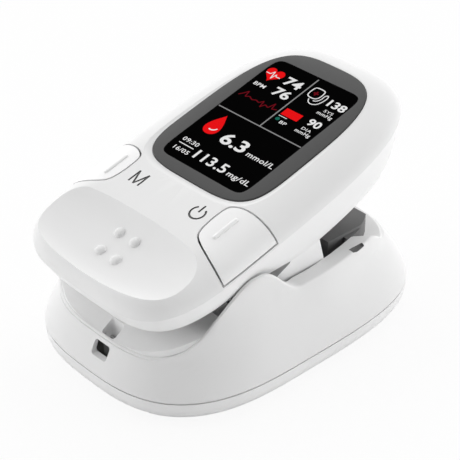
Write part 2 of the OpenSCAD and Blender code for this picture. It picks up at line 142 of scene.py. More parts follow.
# %% Floor
FLOOR_SIZE, FLOOR_Z = 6.0, -0.00003
FLOOR_WHITE_SHARE = 0.9
bpy.ops.object.select_all(action="DESELECT")
bpy.ops.mesh.primitive_plane_add(size=FLOOR_SIZE, location=(0, 0, FLOOR_Z))
floor = bpy.context.object
floor.name = "floor"
paper = bpy.data.materials.new("white_paper")
paper.use_nodes = True
nodes, links = paper.node_tree.nodes, paper.node_tree.links
nodes.clear()
lit = nodes.new("ShaderNodeBsdfDiffuse")
lit.inputs["Color"].default_value = (0.86, 0.86, 0.86, 1)
bright = nodes.new("ShaderNodeEmission")
path = nodes.new("ShaderNodeLightPath")
share = nodes.new("ShaderNodeMath")
share.operation = "MULTIPLY"
share.inputs[1].default_value = FLOOR_WHITE_SHARE
both = nodes.new("ShaderNodeMixShader")
out = nodes.new("ShaderNodeOutputMaterial")
links.new(path.outputs["Is Camera Ray"], share.inputs[0])
links.new(share.outputs[0], both.inputs[0])
links.new(lit.outputs[0], both.inputs[1])
links.new(bright.outputs[0], both.inputs[2])
links.new(both.outputs[0], out.inputs["Surface"])
floor.data.materials.append(paper)
print("floor:", FLOOR_SIZE, "m")

# %% [markdown]
# ## Surface groups
# Moulded plastic, rubber and board lacquer share two effects: a fine grain that a bump node
# turns into tiny dents, and a soft mottle that stands for handling and uneven shrinkage. Each
# is built once as a node group with named inputs, and each material sets its own values.

# %% Grain and mottle group
def surface_group():
    group = bpy.data.node_groups.new("surface_grain", "ShaderNodeTree")
    for label, value in (("Grain Scale", 3000.0), ("Mottle Scale", 90.0)):
        socket = group.interface.new_socket(label, in_out="INPUT", socket_type="NodeSocketFloat")
        socket.default_value = value
    for label in ("Grain", "Mottle"):
        group.interface.new_socket(label, in_out="OUTPUT", socket_type="NodeSocketFloat")
    nodes, links = group.nodes, group.links
    enter = nodes.new("NodeGroupInput")
    leave = nodes.new("NodeGroupOutput")
    place = nodes.new("ShaderNodeTexCoord")
    grain = nodes.new("ShaderNodeTexNoise")
    grain.inputs["Detail"].default_value = 3
    mottle = nodes.new("ShaderNodeTexNoise")
    mottle.inputs["Detail"].default_value = 4
    mottle.inputs["Roughness"].default_value = 0.6
    for node, label in ((grain, "Grain Scale"), (mottle, "Mottle Scale")):
        links.new(place.outputs["Object"], node.inputs["Vector"])
        links.new(enter.outputs[label], node.inputs["Scale"])
    links.new(grain.outputs["Fac"], leave.inputs["Grain"])
    links.new(mottle.outputs["Fac"], leave.inputs["Mottle"])
    return group


SURFACE = surface_group()
print("group:", SURFACE.name)

# %% [markdown]
# ## Finishes
# Every finish starts from the same recipe: two close tones mixed by the mottle, a roughness
# that drifts with it, and a bump from the grain. What makes plastic, silicone or nickel
# different are the values, which sit on the shader's own sockets.

# %% Finish recipe
def finish(name, tone, other, rough, rough_drift=0.06, metal=0.0, bump=0.1, grain=3000, mottle=90,
           coat=0.0, specular=0.5):
    """A procedural finish whose colour and roughness drift between two close values."""
    material = bpy.data.materials.new(name)
    material.use_nodes = True
    nodes, links = material.node_tree.nodes, material.node_tree.links
    shader = nodes["Principled BSDF"]
    shader.inputs["Metallic"].default_value = metal
    shader.inputs["Coat Weight"].default_value = coat
    shader.inputs["Specular IOR Level"].default_value = specular
    surface = nodes.new("ShaderNodeGroup")
    surface.node_tree = SURFACE
    surface.inputs["Grain Scale"].default_value = grain
    surface.inputs["Mottle Scale"].default_value = mottle
    tint = nodes.new("ShaderNodeMix")
    tint.data_type = "RGBA"
    tint.inputs["A"].default_value = (*tone, 1)
    tint.inputs["B"].default_value = (*other, 1)
    links.new(surface.outputs["Mottle"], tint.inputs["Factor"])
    links.new(tint.outputs["Result"], shader.inputs["Base Color"])
    drift = nodes.new("ShaderNodeMapRange")
    drift.inputs["To Min"].default_value = rough - rough_drift
    drift.inputs["To Max"].default_value = rough + rough_drift
    links.new(surface.outputs["Mottle"], drift.inputs["Value"])
    links.new(drift.outputs[0], shader.inputs["Roughness"])
    dents = nodes.new("ShaderNodeBump")
    dents.inputs["Strength"].default_value = bump
    dents.inputs["Distance"].default_value = 0.00002
    links.new(surface.outputs["Grain"], dents.inputs["Height"])
    links.new(dents.outputs[0], shader.inputs["Normal"])
    return material


def grey(value):
    return (value, value, value)


WHITE = finish("white_shell", grey(0.86), grey(0.835), 0.36, 0.05, bump=0.10, grain=2600, mottle=70)
# painted shade: the engraved grooves are coloured dark grey for the shade that falls in them
GROOVE_SHADE = finish("engraved_mark", grey(0.09), grey(0.115), 0.5, mottle=400)
BORDER = finish("lens_border", grey(0.058), grey(0.052), 0.4, 0.04, bump=0.16, grain=5200, mottle=300,
                specular=0.25)
WINDOW = finish("lens_window", grey(0.001), grey(0.002), 0.16, 0.04, bump=0.02, mottle=60, specular=0.0)
# the pads' real grey; the same grey also colours the ledge slot's faces as painted shade
SILICONE_AND_SLOT_SHADE = finish("grey_silicone", grey(0.16), grey(0.135), 0.62, 0.07, bump=0.35, grain=2400, mottle=240,
                  specular=0.35)
INNER = finish("inner_plastic", grey(0.55), grey(0.48), 0.5, bump=0.15)
BLACK = finish("black_plastic", grey(0.02), grey(0.03), 0.45, bump=0.2)
STEEL = finish("plated_steel", grey(0.62), grey(0.52), 0.24, 0.08, metal=1.0, bump=0.08, mottle=700)
EPOXY = finish("clear_epoxy", (0.33, 0.04, 0.03), (0.24, 0.03, 0.03), 0.1, 0.03, bump=0.02, coat=0.6)
DARK_EPOXY = finish("sensor_epoxy", (0.02, 0.02, 0.03), (0.03, 0.03, 0.045), 0.12, 0.03, bump=0.02, coat=0.6)
print("finishes:", len(bpy.data.materials))

# %% [markdown]
# The circuit boards carry copper tracks under green lacquer, and the cells a printed band over
# a bright can. Images could show both, but they would need files and an unwrapped mesh, so the
# patterns are procedural textures on Object coordinates.

# %% Board and cell finishes
def patterned(material, texture, ramp, scale):
    """Puts a two-tone pattern over the base colour of a finish."""
    nodes, links = material.node_tree.nodes, material.node_tree.links
    shader = nodes["Principled BSDF"]
    place = nodes.new("ShaderNodeTexCoord")
    pattern = nodes.new(texture)
    pattern.inputs["Scale"].default_value = scale
    links.new(place.outputs["Object"], pattern.inputs["Vector"])
    tones = nodes.new("ShaderNodeValToRGB")
    for element, (at, tone) in zip(tones.color_ramp.elements, ramp):
        element.position = at
        element.color = (*tone, 1)
    output = pattern.outputs.get("Distance") or pattern.outputs.get("Fac")
    links.new(output, tones.inputs["Fac"])
    links.new(tones.outputs["Color"], shader.inputs["Base Color"])
    return material


BOARD = patterned(finish("circuit_board", grey(0.1), grey(0.1), 0.3, coat=0.3), "ShaderNodeTexVoronoi",
                  ((0.30, (0.012, 0.085, 0.04)), (0.62, (0.03, 0.16, 0.07))), 900)
WRAP = patterned(finish("cell_wrap", grey(0.1), grey(0.1), 0.28, metal=0.6, coat=0.4), "ShaderNodeTexNoise",
                 ((0.40, (0.06, 0.13, 0.26)), (0.60, (0.075, 0.16, 0.30))), 120)
print("patterned finishes:", BOARD.name, WRAP.name)


# %% [markdown]
# The display is a small colour panel that gives its own light. Lamps behind the lens could
# stand for it, but the shader's own emission sockets go with the piece wherever it is used. A
# fine cell pattern dims part of each tone, as the gaps between pixels do.

# %% Lit finishes
PIXEL_SCALE, PIXEL_DIM = 9000, 0.8


def glowing(name, colour, strength):
    """A tone of the lit picture: its light comes through the shader's own emission sockets."""
    material = finish(name, grey(0.001), grey(0.002), 0.6, 0.02, bump=0.0, specular=0.0)
    nodes, links = material.node_tree.nodes, material.node_tree.links
    shader = nodes["Principled BSDF"]
    dots = nodes.new("ShaderNodeTexVoronoi")
    dots.inputs["Scale"].default_value = PIXEL_SCALE
    place = nodes.new("ShaderNodeTexCoord")
    links.new(place.outputs["Object"], dots.inputs["Vector"])
    pixel = nodes.new("ShaderNodeMix")
    pixel.data_type = "RGBA"
    pixel.inputs["A"].default_value = (*colour, 1)
    pixel.inputs["B"].default_value = (*(c * PIXEL_DIM for c in colour), 1)
    links.new(dots.outputs["Distance"], pixel.inputs["Factor"])
    links.new(pixel.outputs["Result"], shader.inputs["Emission Color"])
    shader.inputs["Emission Strength"].default_value = strength
    return material


LIT_WHITE = glowing("lit_white", (0.86, 0.86, 0.86), 1.0)
LIT_GREY = glowing("lit_grey", (0.28, 0.28, 0.28), 1.0)
LIT_RED = glowing("lit_red", (0.88, 0.006, 0.008), 1.0)
LIT_WINE = glowing("lit_wine", (0.16, 0.004, 0.010), 1.0)
LIT_TEAL = glowing("lit_teal", (0.01, 0.14, 0.10), 1.0)
print("lit tones: 5")

# %% [markdown]
# ## Measures
# The shells are curved moulds, so they are described by a few sizes in millimetres and by
# smooth rules. The head is drawn closed, about the centre of its lens, and is then swung open
# about the hinge that the frame gives.

# %% Measures of the base and the head, in millimetres
MM = 0.001
hinge = next(j for j in frame["joints"] if j["name"] == "jaw_hinge")["pos_m"]
HINGE_X, HINGE_Z = hinge[0] / MM, hinge[2] / MM
OPEN_ANGLE = 15.25
BASE_LEN, BASE_W, BASE_PART_Z = 60.0, 43.8, 4.2
LEDGE_Z, THUMB_RIM_Z, MOUTH_Z, HUMP_RISE = 16.0, 9.9, 12.2, 5.6
WALL_LEAN, LEDGE_W, BASE_WALL = 3.0, 2.6, 1.6
HEAD_W, CLOSED_H, HEAD_PART, HEAD_WALL = 37.2, 28.7, 4.25, 1.5
HEAD_HALF = HEAD_W / 2
PART_Z = -HEAD_PART
THUMB_DEPTH, GAP, SEAT = 4.5, 0.3, 0.05
LOWER_DEPTH = CLOSED_H - LEDGE_Z - HEAD_PART - GAP
LENS_AT = 9.3
SCREEN_W, SCREEN_LEN, SCREEN_END, LENS_T, LENS_TOP = 19.2, 27.4, 3.5, 1.0, -0.25
# Outlines: centre x, near reach, far reach, half width, near squareness, far squareness
BASE_PLAN = (-4.4, 25.6, 34.4, BASE_W / 2, 2.9, 3.6)
HEAD_PLAN = (-12, 25.4, 36.4, HEAD_HALF, 4.2, 3.3)
LENS_PLAN = (-2.5, 11, 22.1, 12.65, 4, 3.5)
HEAD_NEAR = HEAD_PLAN[0] - HEAD_PLAN[1]
HEAD_FAR = HEAD_PLAN[0] + HEAD_PLAN[2]
SCREEN_TOP = LENS_PLAN[0] + LENS_PLAN[2] - SCREEN_END
SCREEN_X = (SCREEN_TOP - SCREEN_LEN, SCREEN_TOP)

BASE_PLACE = Matrix.Scale(MM, 4)
HEAD_PLACE = (BASE_PLACE @ Matrix.Translation((HINGE_X, 0, HINGE_Z))
              @ Matrix.Rotation(math.radians(-OPEN_ANGLE), 4, "Y")
              @ Matrix.Translation((LENS_AT - HINGE_X, 0, CLOSED_H - HINGE_Z)))
print("lens centre:", [round(v / MM, 2) for v in HEAD_PLACE.translation])


# %% Smooth rules
def smooth(t):
    """A share from 0 to 1 that starts and ends gently."""
    t = min(max(t, 0.0), 1.0)
    return t * t * (3 - 2 * t)


def run(x, reach):
    """A gentle share from one end of a reach to the other."""
    return smooth((x - reach[0]) / (reach[1] - reach[0]))


def mix(a, b, t):
    return a + (b - a) * t


def egg(plan, angle, inset=0.0):
    """A point of an egg-shaped outline, in the direction of angle, pulled in by inset."""
    c, s = math.cos(angle), math.sin(angle)
    power, reach = (plan[4], plan[1]) if c < 0 else (plan[5], plan[2])
    size = (abs(c) / (reach - inset)) ** power + (abs(s) / (plan[3] - inset)) ** power
    r = size ** (-1 / power)
    return plan[0] + r * c, r * s


def turn(count):
    return [2 * math.pi * i / count for i in range(count)]


def flat_ring(plan, inset, z, count):
    return [(*egg(plan, a, inset), z) for a in turn(count)]


def rounding(radius, *degrees):
    """Inset and drop of each loop of a rounded edge, by the angle it has turned."""
    angles = [math.radians(d) for d in degrees]
    return [(radius * (1 - math.cos(a)), radius * (1 - math.sin(a))) for a in angles]


print("rules ready")

# %% [markdown]
# ## Modelling helpers
# A moulded shell is a stack of loops. The helper starts from a circle, extrudes its edge once
# for every further loop, and sets each new loop down where the mould says. Caps close the ends,
# and a wrapped stack is bridged back to its first loop, which gives a wall with two skins. A
# subdivided box could be pulled into the same shapes, but loops from a rule keep walls even.


# %% Loops, prisms and cuts
# A sliver is shorter than half a thousandth of a millimetre; a finished piece is in metres
SLIVER, FINE = 0.0005, 0.000001
SMOOTH_ANGLE = 24


def calm():
    """Object mode, with nothing selected."""
    if bpy.context.mode != "OBJECT":
        bpy.ops.object.mode_set(mode="OBJECT")
    bpy.ops.object.select_all(action="DESELECT")


def choose(obj):
    """Selects one object alone."""
    calm()
    obj.select_set(True)
    bpy.context.view_layer.objects.active = obj


def set_down(bm, loop, ring):
    for vert, point in zip(loop, ring):
        vert.co = point


def loft(name, rings, wrap=False, pole=None):
    """A circle whose loop is extruded once for each further ring and set down on it."""
    calm()
    bpy.ops.mesh.primitive_circle_add(vertices=len(rings[0]), radius=1)
    obj = bpy.context.object
    obj.name = name
    bpy.ops.object.mode_set(mode="EDIT")
    bm = bmesh.from_edit_mesh(obj.data)
    loop = list(bm.verts)
    first = list(loop)
    set_down(bm, loop, rings[0])
    for ring in rings[1:]:
        bpy.ops.mesh.extrude_edges_move()
        bm = bmesh.from_edit_mesh(obj.data)
        bm.verts.ensure_lookup_table()
        fresh = []
        for vert in loop:
            fresh.append(next(e.other_vert(vert) for e in vert.link_edges if e.other_vert(vert).select))
        loop = fresh
        set_down(bm, loop, ring)
    if wrap:
        for vert in first:
            vert.select_set(True)
        bm.select_mode = {"VERT"}
        bm.select_flush(True)
        for face in bm.faces:
            face.select_set(False)
        for chain in (first, loop):
            for a, b in zip(chain, chain[1:] + chain[:1]):
                bm.edges.get((a, b)).select_set(True)
        bpy.ops.mesh.bridge_edge_loops()
    else:
        bm.faces.new(first)
        if pole:
            top = bm.verts.new(pole)
            for a, b in zip(loop, loop[1:] + loop[:1]):
                bm.faces.new((a, b, top))
        else:
            bm.faces.new(loop)
    bmesh.update_edit_mesh(obj.data)
    bpy.ops.mesh.select_all(action="SELECT")
    bpy.ops.mesh.normals_make_consistent(inside=False)
    calm()
    return obj


def prism(name, outline, low, high):
    """A closed outline of (x, y) points, raised from low to high."""
    return loft(name, [[(x, y, low) for x, y in outline], [(x, y, high) for x, y in outline]])


def block(name, low, high):
    """A box between two corners."""
    calm()
    bpy.ops.mesh.primitive_cube_add(size=1)
    obj = bpy.context.object
    obj.name = name
    size = Vector(high) - Vector(low)
    middle = (Vector(high) + Vector(low)) / 2
    obj.data.transform(Matrix.Translation(middle) @ Matrix.Diagonal((*size, 1)))
    return obj


def rod(name, start, end, radius, sides=48):
    """A cylinder from one point to another."""
    calm()
    along = Vector(end) - Vector(start)
    bpy.ops.mesh.primitive_cylinder_add(vertices=sides, radius=radius, depth=along.length)
    obj = bpy.context.object
    obj.name = name
    middle = (Vector(start) + Vector(end)) / 2
    obj.data.transform(Matrix.Translation(middle) @ along.to_track_quat("Z", "Y").to_matrix().to_4x4())
    return obj


def combine(obj, tool, operation="DIFFERENCE"):
    """Cuts, joins or intersects with a tool, applies the result and merges its slivers."""
    choose(obj)
    modifier = obj.modifiers.new("combine", "BOOLEAN")
    modifier.operation = operation
    modifier.solver = "MANIFOLD"
    modifier.object = tool
    if tool.data.materials:
        modifier.solver = "EXACT"
        modifier.material_mode = "TRANSFER"
    bpy.ops.object.modifier_apply(modifier=modifier.name)
    bpy.ops.object.mode_set(mode="EDIT")
    bpy.ops.mesh.select_all(action="SELECT")
    bpy.ops.mesh.remove_doubles(threshold=SLIVER)
    bpy.ops.mesh.dissolve_degenerate(threshold=SLIVER)
    bpy.ops.object.mode_set(mode="OBJECT")
    bpy.data.objects.remove(tool)
    return obj


def copy_of(obj, name):
    """A second piece with a mesh of its own."""
    twin = bpy.data.objects.new(name, obj.data.copy())
    scene.collection.objects.link(twin)
    return twin


def settle(obj, place, body, material=None, replaces=None):
    """Puts a finished piece in the frame, smooths it, and says what it rides on and stands for."""
    obj.data.transform(place)
    choose(obj)
    bpy.ops.object.mode_set(mode="EDIT")
    bpy.ops.mesh.select_all(action="SELECT")
    bpy.ops.mesh.remove_doubles(threshold=FINE)
    bpy.ops.mesh.dissolve_degenerate(threshold=FINE)
    calm()
    choose(obj)
    bpy.ops.object.shade_smooth_by_angle(angle=math.radians(SMOOTH_ANGLE))
    if material is not None:
        obj.data.materials.clear()
        obj.data.materials.append(material)
    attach(obj, body)
    if replaces:
        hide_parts(*replaces)
    print("made", obj.name, len(obj.data.polygons), "faces")
    return obj


print("helpers ready")

# %% [markdown]
# ## Head skin
# The top of the head is a soft pillow: a steep shoulder that rolls over into a nearly flat
# crown. It could be sculpted, but a rule gives both skins of the wall, one a wall thickness
# below the other, and gives the buttons the same curve later on.

# %% Head skin
RING = 216
SHOULDER_STEPS, CROWN_STEPS = 15, 8
SHOULDER_R, SHOULDER_START, SHOULDER_SPAN, SHOULDER_POWER = (2.4, 8.5), 1.4, 12, 2.2
CROWN, CROWN_IN = -0.05, HEAD_HALF - 0.6
LIP_DROP, LIP_IN = 1.0, 0.7
SCOOP_FAR = -22.9


def shoulder_r(x):
    """Width of the shoulder: narrow round the thumb end, wide beside the screen."""
    return mix(*SHOULDER_R, smooth((x - HEAD_NEAR - SHOULDER_START) / SHOULDER_SPAN))


def shoulder_rise(inset, r):
    """How far up the shoulder a point lies: 0 at the rim, 1 on the crown."""
    return (1 - (1 - min(inset / r, 1)) ** SHOULDER_POWER) ** 0.5


def top_line(x):
    """Height of the crown, which falls towards the thumb lip."""
    return CROWN - LIP_DROP * max(0.0, (SCOOP_FAR - x) / (SCOOP_FAR - HEAD_NEAR - LIP_IN))


def skin_point(angle, inset, sink=0.0):
    x, y = egg(HEAD_PLAN, angle, inset)
    rise = shoulder_rise(inset, shoulder_r(egg(HEAD_PLAN, angle)[0]))
    return x, y, PART_Z + (HEAD_PART + top_line(x)) * rise - sink


def skin_rings(start, sink, low):
    """Loops from the rim up over the shoulder and in across the crown."""
    angles = turn(RING)
    widths = [shoulder_r(egg(HEAD_PLAN, a)[0]) for a in angles]
    rings = [[(*egg(HEAD_PLAN, a, start), low) for a in angles]]
    for k in range(SHOULDER_STEPS + 1):
        share = 1 - math.cos(math.radians(90 * k / SHOULDER_STEPS))
        rings.append([skin_point(a, mix(start, w, share), sink) for a, w in zip(angles, widths)])
    for k in range(1, CROWN_STEPS + 1):
        share = k / CROWN_STEPS
        rings.append([skin_point(a, mix(w, CROWN_IN, share), sink) for a, w in zip(angles, widths)])
    return rings


def head_solid(name, start, sink, low):
    return loft(name, skin_rings(start, sink, low))


print("head skin:", RING, "points round")

# %% [markdown]
# The thumb scoop is a shallow bowl with a crisp edge. It is cut with a tool whose underside is
# the bowl, so the edge falls where the bowl meets the skin, as on the mould.

# %% Scoop tool
SCOOP_PLAN = (-29.5, 7.0, 6.4, 20.0, 2.0, 2.6)
SCOOP_DEPTH = 1.75
SCOOP_SHARES = (1.22, 1.16, 1.1, 1.05, 1.0, 0.96, 0.92, 0.87, 0.82, 0.76, 0.7, 0.6, 0.5, 0.4, 0.3, 0.2, 0.1,
                0.04)
SCOOP_TOOL_TOP = 4
SCOOP_WALL = HEAD_WALL - 0.4


def scoop_floor(x, share):
    """Height of the bowl at a share of the way out from its middle."""
    return top_line(x) - SCOOP_DEPTH * (1 - share ** 3)


def scoop_tool(name, sink=0.0):
    wide_plan = (SCOOP_PLAN[0], *(v * SCOOP_SHARES[0] for v in SCOOP_PLAN[1:4]), *SCOOP_PLAN[4:])
    rings = [flat_ring(wide_plan, 0, SCOOP_TOOL_TOP, RING)]
    for share in SCOOP_SHARES:
        ring = []
        for a in turn(RING):
            x, y = egg(SCOOP_PLAN, a)
            x, y = mix(SCOOP_PLAN[0], x, share), y * share
            ring.append((x, y, scoop_floor(x, share) - sink))
        rings.append(ring)
    return loft(name, rings, pole=(SCOOP_PLAN[0], 0, scoop_floor(SCOOP_PLAN[0], 0) - sink))


def head_shell(name):
    """The skin of the head as a wall with two skins, open below."""
    shell = head_solid(name, 0, 0, PART_Z)
    combine(shell, scoop_tool("scoop"))
    cavity = head_solid("cavity", HEAD_WALL, HEAD_WALL, PART_Z - 3)
    combine(cavity, scoop_tool("inner_scoop", SCOOP_WALL))
    return combine(shell, cavity)


top_cover = head_shell("top_cover_shell")
button_skin = copy_of(top_cover, "button_skin")
print("shell:", len(top_cover.data.polygons), "faces")

# %% [markdown]
# ## Dish and nubs
# The lens sits in a shallow dish, a little lower than the crown. Four domed nubs in the scoop
# tell the thumb where to press. The dish is cut with a stack of loops of the lens's own
# outline, which keeps its edge even, and each nub is a flattened sphere joined to the skin. A
# pocket for the lens and a window for the display are cut last.

# %% Dish and nubs
# Loops of the dish: distance out from the lens, height
DISH = ((1.8, 1.0), (1.7, 0.06), (1.3, -0.06), (0.75, -0.34), (0.4, -0.44), (0.1, -0.46))
combine(top_cover, loft("dish", [flat_ring(LENS_PLAN, -out, z, RING) for out, z in DISH]))

NUB_X, NUB_Y, NUB_R, NUB_TALL, NUB_SINK = (-26.8, -30.9), 1.85, 0.95, 0.8, 0.1
LENS_FIT, WINDOW_MARGIN = 0.09, 0.4
for x in NUB_X:
    for y in (-NUB_Y, NUB_Y):
        calm()
        bpy.ops.mesh.primitive_uv_sphere_add(segments=32, ring_count=20, radius=NUB_R)
        nub = bpy.context.object
        reach = math.hypot((x - SCOOP_PLAN[0]) / SCOOP_PLAN[2], y / SCOOP_PLAN[3])
        nub.data.transform(Matrix.Translation((x, y, scoop_floor(x, reach) - NUB_SINK))
                           @ Matrix.Diagonal((1, 1, NUB_TALL, 1)))
        combine(top_cover, nub, "UNION")

lens_pocket = loft("lens_pocket", [flat_ring(LENS_PLAN, -LENS_FIT, z, RING) for z in (-LENS_T - SEAT, 3)])
combine(top_cover, lens_pocket)
window_half = SCREEN_W / 2 + WINDOW_MARGIN
window = block("window", (SCREEN_X[0] - WINDOW_MARGIN, -window_half, -5),
               (SCREEN_X[1] + WINDOW_MARGIN, window_half, -LENS_T))
combine(top_cover, window)
print("dish and nubs on", top_cover.name)

# %% [markdown]
# The letter M and the power sign are engraved, and their grooves are coloured dark grey as painted
# shade. They could be painted on, but an engraving keeps its depth under any light. The tool that
# cuts them carries the dark grey, and the cut faces keep it as painted shade in the grooves.

# %% Engraved marks
MARK_X, MARK_Y, MARK_W, MARK_DEEP = -17.85, 6.9, 0.34, 0.14
POWER_R, POWER_OPENING, POWER_BAR = 1.3, 38, (0.15, 1.75)


def stroke(a, b, width=MARK_W):
    """The outline of a straight pen stroke from a to b."""
    a, b = Vector(a), Vector(b)
    side = Vector((-(b - a).y, (b - a).x)).normalized() * width / 2
    return [tuple(a + side), tuple(a - side), tuple(b - side), tuple(b + side)]


def arc_band(centre, radius, start, end, width=MARK_W, count=40):
    """The outline of a curved pen stroke."""
    angles = [math.radians(mix(start, end, i / count)) for i in range(count + 1)]
    sides = []
    for r in (radius + width / 2, radius - width / 2):
        sides.append([(centre[0] + r * math.cos(a), centre[1] + r * math.sin(a)) for a in angles])
    return sides[0] + sides[1][::-1]


def engrave(obj, outline):
    """Cuts an outline into the crown with the tool whose dark grey is painted shade in the groove."""
    tool = prism("engraver", outline, CROWN - MARK_DEEP, 1)
    tool.data.materials.append(GROOVE_SHADE)
    combine(obj, tool)


top_cover.data.materials.append(WHITE)
LETTER_X, LETTER_Y = 1.35, 1.1
letter_m = [(-LETTER_X, LETTER_Y), (LETTER_X, LETTER_Y), (-LETTER_X, 0.0), (LETTER_X, -LETTER_Y),
            (-LETTER_X, -LETTER_Y)]
for a, b in zip(letter_m, letter_m[1:]):
    engrave(top_cover, stroke((MARK_X + a[0], MARK_Y + a[1]), (MARK_X + b[0], MARK_Y + b[1])))
engrave(top_cover, arc_band((MARK_X, -MARK_Y), POWER_R, POWER_OPENING, 360 - POWER_OPENING))
engrave(top_cover, stroke(*((MARK_X + reach, -MARK_Y) for reach in POWER_BAR)))
print("marks: M and power sign")

# %% [markdown]
# ## Shoulder buttons
# Each button is a piece of the same skin, cut out by its outline with a thin gap all round, so
# it follows the curve of the cover better than a separate shape would. A long rib marks where
# to press, and a stem inside reaches down to the switch.

# %% Buttons
BUTTON_GAP, MODE_NARROWER = 0.32, 0.7
STRIP_Z = PART_Z + 0.3
SWITCH_X, SWITCH_Y, SWITCH_TOP = -17.5, HEAD_HALF - 4.2, PART_Z + 0.15
STEM_TOP, STEM_R, STEM_GAP = -1.6, 0.9, 0.32
RIB_X, RIB_Y, RIB_R, RIB_SINK = (-19.8, -15.5), HEAD_HALF - 5.75, 0.42, 0.12
# Outline knots: x, distance in from the side of the head
BUTTON_KNOTS = [(-15.2, 9.0), (-18, 9.05), (-20.6, 8.7), (-21.9, 7.6), (-23.2, 4.4), (-24.6, -0.3),
                (-24.6, -3.4), (-13, -3.4), (-13, -0.3), (-12.7, 2.6), (-12.7, 5.2), (-13.1, 7.2),
                (-13.9, 8.6)]


def rounded(points, times):
    """Cuts the corners of a closed outline again and again, which rounds it."""
    for _ in range(times):
        fresh = []
        for a, b in zip(points, points[1:] + points[:1]):
            fresh += [tuple(mix(p, q, share) for p, q in zip(a, b)) for share in (0.25, 0.75)]
        points = fresh
    return points


def shrunk(points, inset):
    """Pulls a closed outline in by a distance, along the inward side of each point."""
    area = sum(a[0] * b[1] - b[0] * a[1] for a, b in zip(points, points[1:] + points[:1]))
    turn_sign = 1 if area > 0 else -1
    result = []
    for before, here, after in zip(points[-1:] + points[:-1], points, points[1:] + points[:1]):
        along = (Vector(after) - Vector(before)).normalized()
        result.append(tuple(Vector(here) + turn_sign * inset * Vector((-along.y, along.x))))
    return result


def button_outline(side, inset):
    """Plan of a button; the mode button reaches in a little less than the power button."""
    narrow = MODE_NARROWER if side > 0 else 0
    knots = rounded([(x, HEAD_HALF - d + narrow * smooth(d / 9)) for x, d in BUTTON_KNOTS], 2)
    return [(x, side * y) for x, y in shrunk(knots, inset)]


def make_button(name, side, skin):
    outline = button_outline(side, BUTTON_GAP)
    combine(skin, prism("button_prism", outline, STRIP_Z + BUTTON_GAP, 3), "INTERSECT")
    rib_z = skin_height(RIB_Y) - RIB_SINK
    rib = rod("rib", (RIB_X[0], side * RIB_Y, rib_z), (RIB_X[1], side * RIB_Y, rib_z), RIB_R, 24)
    combine(skin, rib, "UNION")
    for x in RIB_X:
        calm()
        bpy.ops.mesh.primitive_uv_sphere_add(segments=24, ring_count=12, radius=RIB_R)
        end = bpy.context.object
        end.data.transform(Matrix.Translation((x, side * RIB_Y, rib_z)))
        combine(skin, end, "UNION")
    stem_y = side * SWITCH_Y
    stem = rod("stem", (SWITCH_X, stem_y, SWITCH_TOP + STEM_GAP), (SWITCH_X, stem_y, STEM_TOP), STEM_R)
    combine(skin, stem, "UNION")
    skin.name = name + "_piece"
    return settle(skin, HEAD_PLACE, name, WHITE, replaces=[name])


def skin_height(y):
    """Height of the head skin abreast of the buttons."""
    return PART_Z + (HEAD_PART + CROWN) * shoulder_rise(HEAD_HALF - abs(y), shoulder_r(SWITCH_X))


for side in (-1, 1):
    combine(top_cover, prism("button_hole", button_outline(side, 0), STRIP_Z, 3))
make_button("power_button", -1, copy_of(button_skin, "power_skin"))
make_button("mode_button", 1, copy_of(button_skin, "mode_skin"))
bpy.data.objects.remove(button_skin)
print("buttons: two")

# %% [markdown]
# Four screws come up from below and hold the two covers together. Each bites into a post under
# the top cover, which is a plain rod with a pilot hole, joined to the skin.

# %% Screw posts of the top cover
POST_R, PILOT_R, CLEARANCE_R, SINK_R = 1.9, 0.7, 0.95, 1.6
THUMB_POST, FINGER_POST = (HEAD_NEAR + 6.9, HEAD_HALF - 9.5), (HEAD_FAR - 4.8, HEAD_HALF - 12.1)
SCREW_POSTS = [(x, side * y) for x, y in (THUMB_POST, FINGER_POST) for side in (-1, 1)]
THUMB_POST_TOP, FINGER_POST_TOP = -3.3, -2.2
for x, y in SCREW_POSTS:
    top = THUMB_POST_TOP if x < 0 else FINGER_POST_TOP
    post = rod("post", (x, y, PART_Z - 0.6), (x, y, top), POST_R)
    combine(post, rod("pilot", (x, y, PART_Z - 1), (x, y, top - 0.6), PILOT_R))
    combine(top_cover, post, "UNION")
settle(top_cover, HEAD_PLACE, "head", replaces=["top_cover"])

# %% [markdown]
# ## Lens
# The lens is one flat sheet with a rounded rim. Its border is printed dark grey from behind,
# and the window in the middle is left clear over the black display, so the top has two
# finishes whose edge is a loop of the mesh.

# %% Lens
WINDOW_SQUARE, LENS_RING, LENS_EDGE = 14, 240, 0.14


def window_ring(outline):
    """The rim of the window, met by a straight ray from its middle to each outline point."""
    middle = (SCREEN_X[0] + SCREEN_X[1]) / 2
    plan = (middle, SCREEN_LEN / 2, SCREEN_LEN / 2, SCREEN_W / 2, WINDOW_SQUARE, WINDOW_SQUARE)
    return [(*egg(plan, math.atan2(y, x - middle)), LENS_TOP) for x, y, _ in outline]


rings = [flat_ring(LENS_PLAN, 0, z, LENS_RING) for z in (-LENS_T, LENS_TOP - LENS_EDGE)]
rings += [flat_ring(LENS_PLAN, inset, LENS_TOP - drop, LENS_RING)
          for inset, drop in rounding(LENS_EDGE, 30, 60, 90)]
rings.append(window_ring(rings[-1]))
lens = loft("lens_piece", rings)
lens.data.materials.append(BORDER)
lens.data.materials.append(WINDOW)
for face in lens.data.polygons:
    if len(face.vertices) > 4 and face.center.z > LENS_TOP - 0.1:
        face.material_index = 1
settle(lens, HEAD_PLACE, "head", replaces=["display_lens"])

# %% [markdown]
# ## Lit picture
# The picture is drawn with text and simple outlines, a hair above the window. Text is turned
# into a mesh before it is placed. Up on the screen is towards the finger end, so a point at
# (right, down) from the top left corner is turned into head coordinates by one rule.

